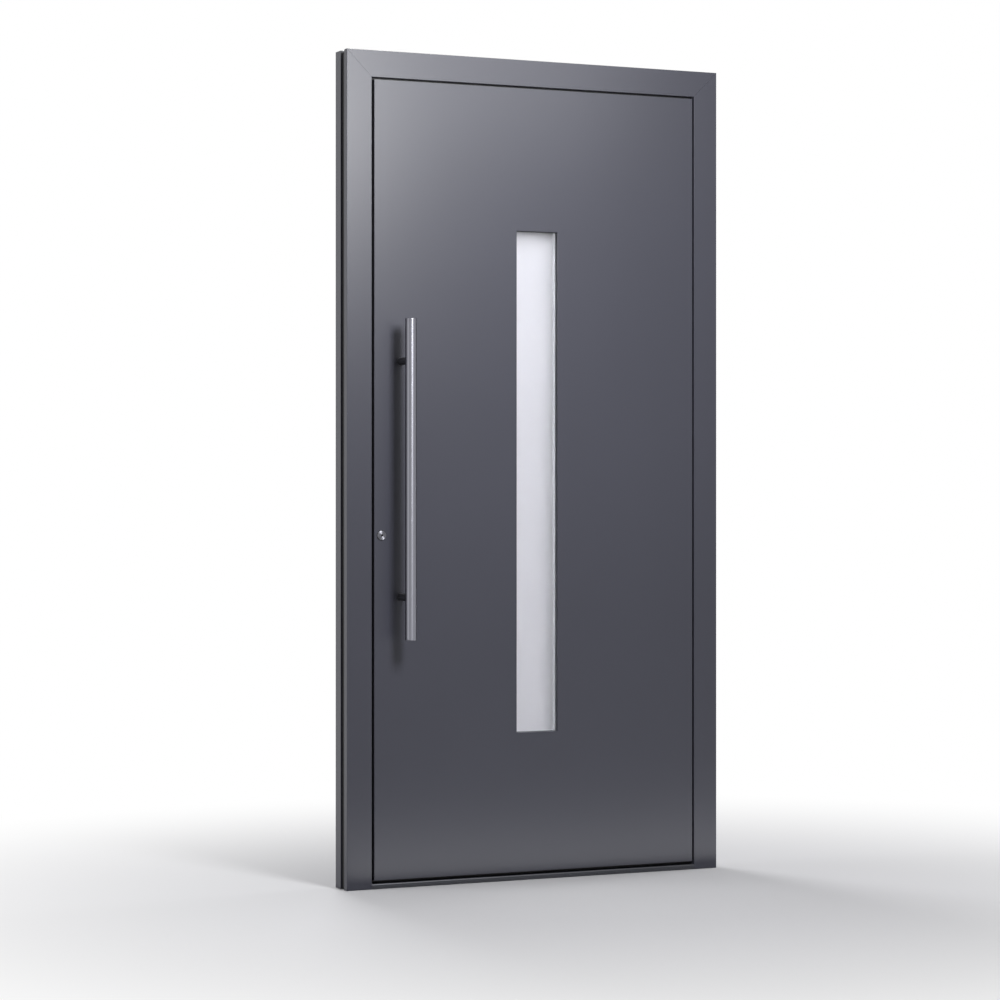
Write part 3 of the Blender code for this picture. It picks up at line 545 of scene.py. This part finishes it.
def add_screw(shape, direction, place, head=SCREW_HEAD, proud=SCREW_PROUD):
    """Screw head with a hexagonal socket"""
    socket = SOCKET * head / SCREW_HEAD
    floor = proud - SOCKET_DEPTH
    profile = [
        (0, -SCREW_SUNK), (head, -SCREW_SUNK), (head, proud - SCREW_CHAMFER),
        (head - SCREW_CHAMFER, proud), (socket, proud, 6), (socket, floor, 6), (0, floor),
    ]
    add_turned(shape, profile, facing(direction, place), SCREW_STEPS)


def arc(centre, radius, start, end, steps):
    """Points on an arc, angles in degrees"""
    points = []
    for step in range(steps + 1):
        angle = math.radians(start + (end - start) * step / steps)
        across = centre[0] + radius * math.cos(angle)
        up = centre[1] + radius * math.sin(angle)
        points.append((across, up))
    return points


# Fine parts

def make_rebate_seal(material):
    """Bulb seal round the rebate: a foot on the lip's back, two fins and a soft bulb"""
    low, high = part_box("frame_seal")
    foot = low.y + SEAL_FOOT
    rise = high.y - foot
    bulb = []
    for across, up in arc((SEAL_WIDTH / 2, 0), BULB_RADIUS, 180, 0, steps=12):
        bulb.append((across, foot + rise * up / BULB_RADIUS))
    fin = 0.0006
    left_fin = [(0.0, low.y), (0.0, foot + fin), (fin, foot + fin), (2 * fin, foot)]
    right_fin = [(SEAL_WIDTH - across, y) for across, y in reversed(left_fin)]
    shape = bmesh.new()
    add_ring(shape, (low.x, high.x, low.z, high.z), left_fin + bulb + right_fin)
    piece = add_piece("rebate_seal", shape, material, "frame")
    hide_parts("frame_seal")


def slot_opening():
    """The light slot's clear rectangle, from the spacer that frames it"""
    low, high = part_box("outer_spacer")
    return low.x + GLASS_COVER, high.x - GLASS_COVER, low.z + GLASS_COVER, high.z - GLASS_COVER


def make_glazing_seals(material):
    """Soft lips round the slot on the faces of the outer and the inner pane"""
    rect = slot_opening()
    clear = 0.0001
    faces = (
        ("outer_glazing_seal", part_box("outer_pane")[0].y, -1),
        ("inner_glazing_seal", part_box("inner_pane")[1].y, 1),
    )
    for name, face, out in faces:
        start = face + out * FIT / 3
        section = [
            (clear, start), (GASKET, start), (GASKET * 0.85, start + out * GASKET * 0.45),
            (GASKET * 0.4, start + out * GASKET * 0.8), (clear, start + out * GASKET * 0.9),
        ]
        shape = bmesh.new()
        add_ring(shape, rect, section)
        add_piece(name, shape, material, "door_leaf")


def make_sealant_lines(material):
    """Thin grey sealant on both sides of each spacer, where it meets the panes"""
    rect = slot_opening()
    clear = 0.00005
    wide = 0.0005
    narrow = 0.0003
    shape = bmesh.new()
    for name in ("outer_spacer", "inner_spacer"):
        low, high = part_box(name)
        for start, step in ((low.y, SEALANT), (high.y, -SEALANT)):
            end = start + step
            section = [(clear, start), (wide, start), (narrow, end), (clear, end)]
            add_ring(shape, rect, section)
    add_piece("spacer_sealant", shape, material, "door_leaf")


def make_grab_bar(material):
    """Round bar with pressed-in end caps, whose joints show as fine lines"""
    low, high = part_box("pull_bar")
    radius = (high.x - low.x) / 2
    half = (high.z - low.z) / 2
    edge = 0.0010
    joint = half - CAP_LINE
    line = CAP_LINE_WIDTH / 2
    upper = [
        (radius, joint - line), (radius - line, joint - line / 2),
        (radius - line, joint + line / 2), (radius, joint + line),
    ]
    upper += arc((radius - edge, half - edge), edge, 0, 90, steps=4)
    upper.append((0, half))
    lower = [(across, -up) for across, up in reversed(upper)]
    shape = bmesh.new()
    add_turned(shape, lower + upper, Matrix.Translation((low + high) / 2))
    piece = add_piece("grab_bar", shape, material, "door_leaf")
    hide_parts("pull_bar")


def make_post_details(steel, plastic):
    """Thin black washers at the sheet and set screws under the posts"""
    rings = bmesh.new()
    screws = bmesh.new()
    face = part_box("outer_sheet")[0].y
    thick = 0.0008
    chamfer = 0.0002
    screw_inset = 0.012
    for name in ("lower_post", "upper_post"):
        low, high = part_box(name)
        radius = (high.x - low.x) / 2
        x = (low.x + high.x) / 2
        z = (low.z + high.z) / 2
        seat = facing((0, -1, 0), (x, face - FIT / 3, z))
        bore = radius + 0.0001
        outer = radius + 0.0006
        profile = [
            (bore, 0.0), (outer, 0.0), (outer, thick - chamfer),
            (outer - chamfer, thick), (bore, thick),
        ]
        add_turned(rings, profile, seat)
        place = (x, face - screw_inset, low.z + SCREW_PROUD)
        add_screw(screws, (0, 0, -1), place, head=0.0024)
    add_piece("post_washers", rings, plastic, "door_leaf")
    add_piece("post_set_screws", screws, steel, "door_leaf")


def cylinder_bore():
    """Radius of the hole in a ring or rose round the lock cylinder"""
    low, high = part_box("lock_cylinder")
    return (high.x - low.x) / 2 + FIT


def make_lock_ring(material, rubber):
    """Domed ring round the cylinder, with a soft outer edge, on a thin black gasket"""
    low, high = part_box("lock_collar")
    centre = (low + high) / 2
    seat = facing((0, -1, 0), (centre.x, high.y, centre.z))
    reach = (high.x - low.x) / 2
    outer = reach - 0.0013
    inner = cylinder_bore()
    thick = high.y - low.y
    edge = 0.0026
    chamfer = 0.0003
    profile = [(inner, 0.0), (outer, 0.0)]
    profile += arc((outer - edge, thick - edge), edge, 0, 90, steps=8)
    profile += [(inner + chamfer, thick), (inner, thick - chamfer)]
    shape = bmesh.new()
    add_turned(shape, profile, seat)
    piece = add_piece("lock_ring", shape, material, "door_leaf")
    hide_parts("lock_collar")
    bore = outer + 0.0001
    gasket = 0.0009
    profile = [
        (bore, 0.0), (reach, 0.0), (reach, gasket - chamfer),
        (reach - chamfer, gasket), (bore, gasket),
    ]
    shape = bmesh.new()
    add_turned(shape, profile, seat)
    add_piece("lock_gasket", shape, rubber, "door_leaf")


def make_key_wards(material):
    """Ribs in the keyway at both ends of the cylinder, a lining on its walls and a ring round its
    mouth, all in near-black steel as painted shade of the keyway's depth
    """
    low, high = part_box("lock_cylinder")
    x = (low.x + high.x) / 2
    z = (low.z + high.z) / 2
    half_width = 0.0012
    half_height = 0.0044
    reach = 0.0009
    root = 0.0007
    crest = 0.0004
    ward_start = 0.0006
    ward_end = 0.0055
    ends = ((low.y, 1), (high.y, -1))
    shape = bmesh.new()
    for end, inward in ends:
        for side, height in ((-1, 0.0012), (1, -0.0016)):
            wall = x + side * half_width
            tip = wall - side * reach
            level = z + height
            section = [
                (wall, level - root), (tip, level - crest), (tip, level + crest), (wall, level + root),
            ]
            add_strip(shape, section, end + inward * ward_start, end + inward * ward_end, 1)
    add_piece("key_wards", shape, material, "door_leaf")
    # Painted shade: a near-black sheet on the keyway's walls and a near-black ring round its mouth,
    # where there is only shade
    clear = 0.00002
    lining = 0.00015
    lining_start = 0.0001
    lining_end = 0.0058
    mouth_reach = 0.0027
    shape = bmesh.new()
    for end, inward in ends:
        for side in (-1, 1):
            wall = x + side * half_width
            outer = wall - side * clear
            inner = wall - side * lining
            bottom = z - half_height
            top = z + half_height
            section = [(outer, bottom), (inner, bottom), (inner, top), (outer, top)]
            add_strip(shape, section, end + inward * lining_start, end + inward * lining_end, 1)
        mouth = facing((0, -inward, 0), (x, end, z))
        profile = [
            (half_width, clear), (mouth_reach, clear), (mouth_reach - 0.0001, 0.00010),
            (half_width, 0.00006),
        ]
        add_turned(shape, profile, mouth, SCREW_STEPS)
    add_piece("keyway_shade_lining", shape, material, "door_leaf")


def make_roses(material):
    """Inner roses as pressed caps over a thin seat, with a fine joint between them"""
    roses = (
        ("lever_rose_cap", "lever_rose", 0.0),
        ("cylinder_rose_cap", "cylinder_rose", cylinder_bore()),
    )
    seat_inset = 0.0006
    seat_top = 0.0012
    cap_foot = 0.0014
    edge = 0.0018
    for name, node, inner in roses:
        low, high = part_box(node)
        outer = (high.x - low.x) / 2
        thick = high.y - low.y
        seat = outer - seat_inset
        profile = [(inner, 0.0), (seat, 0.0), (seat, seat_top), (outer, cap_foot)]
        profile += arc((outer - edge, thick - edge), edge, 0, 90, steps=6)
        profile.append((inner, thick))
        centre = (low + high) / 2
        shape = bmesh.new()
        add_turned(shape, profile, facing((0, 1, 0), (centre.x, low.y, centre.z)))
        piece = add_piece(name, shape, material, "door_leaf")
        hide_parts(node)


def make_lever(material):
    """Bent round lever with a softly rounded tip"""
    low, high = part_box("lever_handle")
    radius = (high.z - low.z) / 2
    x = low.x + radius
    z = (low.z + high.z) / 2
    far = high.y - radius
    bend = 0.016
    bend_steps = 14
    tip = 0.0022
    tip_steps = 5
    path = [(x, low.y, 0.0, 1.0)]
    for step in range(bend_steps + 1):
        angle = math.radians(90) * step / bend_steps
        place_x = x + bend * (1 - math.cos(angle))
        place_y = far - bend + bend * math.sin(angle)
        path.append((place_x, place_y, math.sin(angle), math.cos(angle)))
    shoulder = high.x - tip
    path.append((shoulder, far, 1.0, 0.0))
    sizes = [radius] * len(path)
    for step in range(1, tip_steps + 1):
        angle = math.radians(90) * step / tip_steps
        path.append((shoulder + tip * math.sin(angle), far, 1.0, 0.0))
        sizes.append(radius - tip + tip * math.cos(angle))
    shape = bmesh.new()
    rings = []
    for (px, py, along_x, along_y), size in zip(path, sizes):
        side = Vector((along_y, -along_x, 0))
        ring = []
        for step in range(ROUND_STEPS):
            angle = 2 * math.pi * step / ROUND_STEPS
            point = Vector((px, py, z)) + size * (math.cos(angle) * side + math.sin(angle) * UP)
            ring.append(shape.verts.new(point))
        rings.append(ring)
    join_rings(shape, rings, False)
    shape.faces.new(rings[0])
    shape.faces.new(rings[-1])
    piece = add_piece("lever", shape, material, "door_leaf")
    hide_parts("lever_handle")


def make_lever_collar(material):
    """Bearing ring at the lever's foot"""
    low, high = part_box("lever_handle")
    radius = (high.z - low.z) / 2
    thick = 0.0024
    chamfer = 0.0006
    bore = radius + 0.0002
    outer = radius + 0.0026
    profile = [
        (bore, 0.0), (outer, 0.0), (outer, thick - chamfer), (outer - chamfer, thick), (bore, thick),
    ]
    shape = bmesh.new()
    place = (low.x + radius, low.y, (low.z + high.z) / 2)
    add_turned(shape, profile, facing((0, 1, 0), place))
    add_piece("lever_collar", shape, material, "door_leaf")


def make_hinge_details(steel, plastic):
    """Screws in both wings of each hinge, and caps on the barrel's ends"""
    frame_screws = bmesh.new()
    leaf_screws = bmesh.new()
    caps = bmesh.new()
    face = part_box("inner_sheet")[1].y + FIT + HINGE_WING
    frame_wing = ((-0.008, 0.046), (-0.024, 0.034), (-0.008, 0.012))
    leaf_wing = ((0.010, 0.046), (0.034, 0.034), (0.010, 0.012))
    cap = 0.0104
    rim = 0.0008
    edge = 0.0016
    crown = 0.0024
    socket = 0.0026
    floor = 0.0011
    for place in ("lower", "middle", "upper"):
        frame_low, frame_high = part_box(f"{place}_hinge_frame_half")
        leaf_low, leaf_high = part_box(f"{place}_hinge_leaf_half")
        z = (frame_low.z + frame_high.z) / 2
        for across, up in frame_wing:
            for way in (-1, 1):
                add_screw(frame_screws, (0, 1, 0), (frame_high.x + across, face, z + way * up))
        for across, up in leaf_wing:
            for way in (-1, 1):
                add_screw(leaf_screws, (0, 1, 0), (leaf_low.x + across, face, z + way * up))
        axis = (leaf_high.x - HINGE_BARREL, leaf_high.y - HINGE_BARREL)
        for end, way in ((leaf_low.z, -1), (leaf_high.z, 1)):
            profile = [(0, 0.0), (cap, 0.0), (cap, rim)]
            profile += arc((cap - edge, rim), edge, 0, 90, steps=5)
            profile += [(0.0030, crown), (socket, 0.0023, 6), (socket, floor, 6), (0, floor)]
            add_turned(caps, profile, facing((0, 0, way), (*axis, end + way * FIT / 3)), ROUND_STEPS)
    add_piece("frame_hinge_screws", frame_screws, steel, "frame")
    add_piece("leaf_hinge_screws", leaf_screws, steel, "door_leaf")
    add_piece("hinge_caps", caps, plastic, "door_leaf")


def make_lock_details(steel):
    """Screws of the keeps, the faceplate and the frame, and the latch's bevelled nose"""
    keep_screws = bmesh.new()
    plate_screws = bmesh.new()
    frame_screws = bmesh.new()
    plate_low, plate_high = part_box("lock_faceplate")
    middle = (plate_low.y + plate_high.y) / 2
    keep_inset = 0.009
    plate_inset = 0.012
    heights = [plate_low.z + plate_inset, plate_high.z - plate_inset]
    for name in ("lower_keep", "main_keep", "upper_keep"):
        low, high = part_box(name)
        for z in (low.z + keep_inset, high.z - keep_inset):
            add_screw(keep_screws, (1, 0, 0), (high.x, middle, z))
        heights += [low.z - plate_inset, high.z + plate_inset]
    for z in heights:
        add_screw(plate_screws, (-1, 0, 0), (plate_low.x, middle, z))
    for name, out in (("lock_jamb_inner", 1), ("hinge_jamb_inner", -1)):
        low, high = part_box(name)
        face = high.x if out > 0 else low.x
        for z in FRAME_SCREWS:
            place = (face - out * GROOVE_DEPTH, middle, z)
            add_screw(frame_screws, (out, 0, 0), place, head=0.0058, proud=0.0012)
    add_piece("keep_screws", keep_screws, steel, "frame")
    add_piece("faceplate_screws", plate_screws, steel, "door_leaf")
    add_piece("frame_fixing_screws", frame_screws, steel, "frame")

    keep_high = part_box("main_keep")[1]
    opening_inset = 0.030
    half_opening = 0.017
    latch = keep_high.z - opening_inset - half_opening
    half_thick = 0.0062
    half_height = 0.0166
    root = plate_low.x + 0.0004
    shoulder = plate_low.x - 0.0008
    front = plate_low.x - 0.0052
    bevel_end = middle + half_thick - 0.0025
    section = [
        (root, middle - half_thick), (shoulder, middle - half_thick),
        (front, bevel_end), (front, middle + half_thick), (root, middle + half_thick),
    ]
    nose = bmesh.new()
    add_strip(nose, section, latch - half_height, latch + half_height, 2)
    add_piece("latch_nose", nose, steel, "door_leaf")


def make_threshold_trim(material):
    """Wear strip along the top of the threshold, and a fine rib on its front"""
    low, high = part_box("threshold_outer")
    thick = 0.0003
    inset = 0.0004
    ends = (low.x + inset, high.x - inset)
    front = low.y
    back = high.y - 0.0008
    ledge = 0.0125
    ledge_end = front + 0.008
    rise_end = front + 0.012
    top = [
        (front, 0.0105), (front + 0.002, ledge), (ledge_end, ledge), (rise_end, high.z), (back, high.z),
    ]
    lifted = [
        (front - thick, 0.0102), (front - thick, 0.0107), (front + 0.0018, ledge + thick),
        (ledge_end, ledge + thick), (rise_end, high.z + thick), (back, high.z + thick),
    ]
    shape = bmesh.new()
    add_strip(shape, lifted + list(reversed(top)), *ends, 0)
    add_piece("threshold_wear_strip", shape, material, "frame")
    root = front + 0.0001
    crest = front - 0.0009
    rib = [(root, 0.0052), (crest, 0.0055), (crest, 0.0061), (root, 0.0066)]
    shape = bmesh.new()
    add_strip(shape, rib, *ends, 0)
    add_piece("threshold_front_rib", shape, material, "frame")


# Stage, light and camera

def seen_rays(tree, kinds):
    """1 for rays of these kinds that haven't spread from a matt surface, else 0"""
    path = tree.nodes.new("ShaderNodeLightPath")
    seen = path.outputs[kinds[0]]
    for kind in kinds[1:]:
        larger = tree.nodes.new("ShaderNodeMath")
        larger.operation = "MAXIMUM"
        tree.links.new(seen, larger.inputs[0])
        tree.links.new(path.outputs[kind], larger.inputs[1])
        seen = larger.outputs["Value"]
    unspread = tree.nodes.new("ShaderNodeMath")
    unspread.operation = "LESS_THAN"
    unspread.inputs[1].default_value = 0.5
    tree.links.new(path.outputs["Diffuse Depth"], unspread.inputs[0])
    both = tree.nodes.new("ShaderNodeMath")
    both.operation = "MULTIPLY"
    tree.links.new(seen, both.inputs[0])
    tree.links.new(unspread.outputs["Value"], both.inputs[1])
    return both.outputs["Value"]


def make_floor():
    """Pale floor that fades to plain white away from the door"""
    mesh = bpy.data.meshes.new("floor")
    shape = bmesh.new()
    bmesh.ops.create_grid(shape, x_segments=1, y_segments=1, size=FLOOR_REACH)
    shape.to_mesh(mesh)
    shape.free()
    floor = bpy.data.objects.new("floor", mesh)
    floor.location = (0, 0, -FLOOR_DROP)
    bpy.context.scene.collection.objects.link(floor)

    material, shader = new_material("floor_pale")
    shader.inputs["Base Color"].default_value = (*FLOOR_COLOUR, 1.0)
    shader.inputs["Roughness"].default_value = 0.8
    shader.inputs["Specular IOR Level"].default_value = 0.2
    nodes = material.node_tree.nodes
    place = nodes.new("ShaderNodeTexCoord")
    away = nodes.new("ShaderNodeVectorMath")
    away.operation = "DISTANCE"
    away.inputs[1].default_value = FLOOR_CENTRE
    join(material, place.outputs["Object"], away.inputs[0])
    fade = spread(material, away.outputs["Value"], 0.0, 1.0, FLOOR_NEAR, FLOOR_FAR)
    nodes[-1].interpolation_type = "SMOOTHSTEP"
    seen = seen_rays(material.node_tree, BACKDROP_RAYS)
    factor = combine(material, fade, seen, "MULTIPLY")
    white = add_node(material, "ShaderNodeEmission", Strength=1.0)
    choice = nodes.new("ShaderNodeMixShader")
    join(material, factor, choice.inputs["Fac"])
    join(material, shader.outputs["BSDF"], choice.inputs[1])
    join(material, white.outputs["Emission"], choice.inputs[2])
    join(material, choice.outputs["Shader"], nodes["Material Output"].inputs["Surface"])
    mesh.materials.append(material)


def make_world():
    """Plain white backdrop all round, which spreads less light than it shows"""
    world = bpy.data.worlds.new("studio")
    world.use_nodes = True
    bpy.context.scene.world = world
    nodes = world.node_tree.nodes
    links = world.node_tree.links
    nodes.clear()
    seen = seen_rays(world.node_tree, BACKDROP_RAYS)
    level = nodes.new("ShaderNodeBackground")
    level.inputs["Color"].default_value = WORLD_COLOUR
    level.inputs["Strength"].default_value = WORLD_SPREAD
    white = nodes.new("ShaderNodeBackground")
    white.inputs["Color"].default_value = WHITE
    choice = nodes.new("ShaderNodeMixShader")
    output = nodes.new("ShaderNodeOutputWorld")
    links.new(seen, choice.inputs["Fac"])
    links.new(level.outputs["Background"], choice.inputs[1])
    links.new(white.outputs["Background"], choice.inputs[2])
    links.new(choice.outputs["Shader"], output.inputs["Surface"])


def make_lamp(name, place, aim, size, power, spread_light=True, gloss=True):
    """Soft lamp, a card that only shows in reflections, or a lamp that never does"""
    data = bpy.data.lights.new(name, "AREA")
    data.shape = "RECTANGLE"
    data.size, data.size_y = size
    data.energy = power
    lamp = bpy.data.objects.new(name, data)
    lamp.location = place
    lamp.rotation_euler = (Vector(aim) - Vector(place)).to_track_quat("-Z", "Y").to_euler()
    lamp.visible_camera = False
    lamp.visible_transmission = False
    lamp.visible_diffuse = spread_light
    lamp.visible_glossy = gloss
    bpy.context.scene.collection.objects.link(lamp)


def make_card(name, place, aim, size, power):
    """Card that only shows in reflections"""
    make_lamp(name, place, aim, size, power, spread_light=False)


def make_camera():
    """Camera at the photograph's place, level and with its lens shifted"""
    data = bpy.data.cameras.new("camera")
    data.lens = CAMERA_LENS
    data.sensor_width = SENSOR_WIDTH
    data.shift_y = HORIZON_SHIFT
    data.clip_end = 100.0
    camera = bpy.data.objects.new("camera", data)
    camera.location = CAMERA_PLACE
    camera.rotation_euler = (math.radians(90), 0, math.radians(-CAMERA_TURN))
    bpy.context.scene.collection.objects.link(camera)
    bpy.context.scene.camera = camera


def make_lamps():
    """Key, cards for the reflections, and lamps behind and beside the door"""
    make_lamp("key_lamp", KEY_PLACE, KEY_AIM, KEY_SIZE, KEY_POWER, gloss=False)
    make_card("key_card", KEY_PLACE, KEY_AIM, KEY_SIZE, KEY_GLOSS)
    make_card("high_card", HIGH_PLACE, HIGH_AIM, HIGH_SIZE, HIGH_POWER)
    make_card("wide_card", WIDE_PLACE, WIDE_AIM, WIDE_SIZE, WIDE_POWER)
    make_card("left_card", LEFT_CARD_PLACE, CARD_AIM, LEFT_CARD_SIZE, LEFT_CARD_POWER)
    make_card("foot_card", FOOT_CARD_PLACE, FOOT_CARD_AIM, FOOT_CARD_SIZE, FOOT_CARD_POWER)
    make_lamp("back_lamp", BACK_PLACE, BACK_AIM, BACK_SIZE, BACK_POWER)
    for side in (-1, 1):
        place = (side * SIDE_REACH, SIDE_BACK, SIDE_HEIGHT)
        make_lamp(f"side_lamp_{side}", place, SIDE_AIM, SIDE_SIZE, SIDE_POWER, gloss=False)


make_camera()
steels = make_steels()
finishes = make_finishes()
dress_nodes(finishes, steels)
make_rebate_seal(finishes["seal_rubber"])
make_glazing_seals(finishes["seal_rubber"])
make_sealant_lines(finishes["spacer_grey"])
make_grab_bar(steels["round_z"])
# the posts' set screws take the steel darkened as painted shade
make_post_details(steels["painted_shade_y"], finishes["polyamide"])
make_lock_ring(steels["lock_y"], finishes["seal_rubber"])
# keyway ribs, lining and mouth ring in near-black steel, as painted shade
make_key_wards(steels["keyway_shade_y"])
make_roses(steels["round_y"])
make_lever(steels["round_x"])
make_lever_collar(steels["round_y"])
make_hinge_details(steels["round_y"], finishes["polyamide"])
make_lock_details(steels["long_z"])
make_threshold_trim(finishes["dark_anodised"])
make_floor()
make_world()
make_lamps()
bpy.context.scene.view_settings.view_transform = "Standard"
